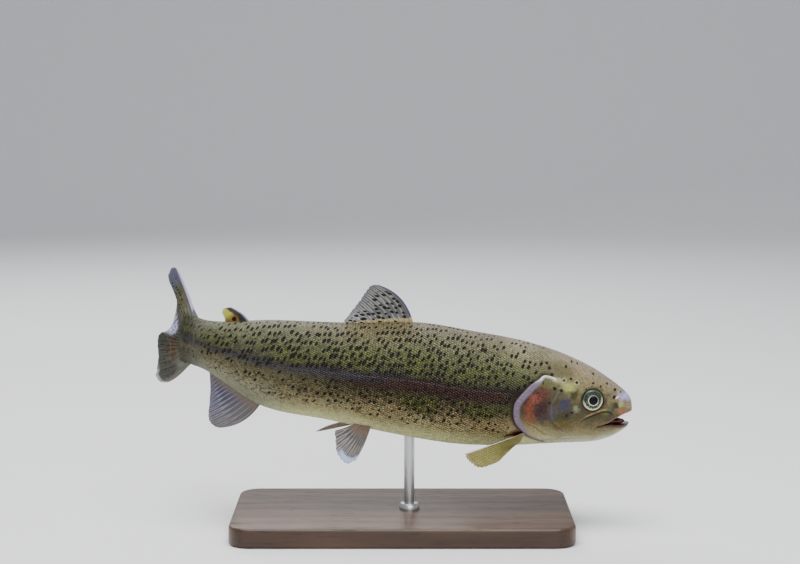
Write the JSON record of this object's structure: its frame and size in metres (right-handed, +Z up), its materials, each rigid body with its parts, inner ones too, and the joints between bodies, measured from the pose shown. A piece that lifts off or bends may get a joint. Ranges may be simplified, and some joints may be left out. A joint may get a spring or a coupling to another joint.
{
  "type": "rainbow trout",
  "caption": "Life-size still model of a swimming rainbow trout, tail swung to its left, mouth slightly open, on a flat base with one slim rod.",
  "frame": {"origin": "middle of the stand base's underside, on the floor", "axes": "+X towards the snout, +Z up; the fish's right side faces -Y and its tail swings towards +Y"},
  "size_m": [0.2765, 0.1188, 0.1413],
  "materials": {
    "skin": "wet skin under small scales: olive back, lilac side stripe, pale belly, black spots",
    "fin": "translucent membrane between fine rays",
    "eye": "clear and wet, dark pupil in a metallic iris",
    "mouth": "wet, dark red",
    "stand_wood": "dark, satin varnish",
    "stand_steel": "satin"
  },
  "bodies": {
    "root": {"head": "skin", "lower_jaw": "skin", "trunk": "skin", "tail_stalk": "skin", "gill_cover_right": "skin", "gill_cover_left": "skin", "tongue": "mouth", "eye_right": "eye", "eye_left": "eye", "dorsal_fin": "fin", "adipose_fin": "fin", "caudal_fin": "fin", "anal_fin": "fin", "pelvic_fin_right": "fin", "pelvic_fin_left": "fin", "pectoral_fin_right": "fin", "pectoral_fin_left": "fin", "stand_base": "stand_wood", "stand_rod": "stand_steel"}
  },
  "joints": []
}
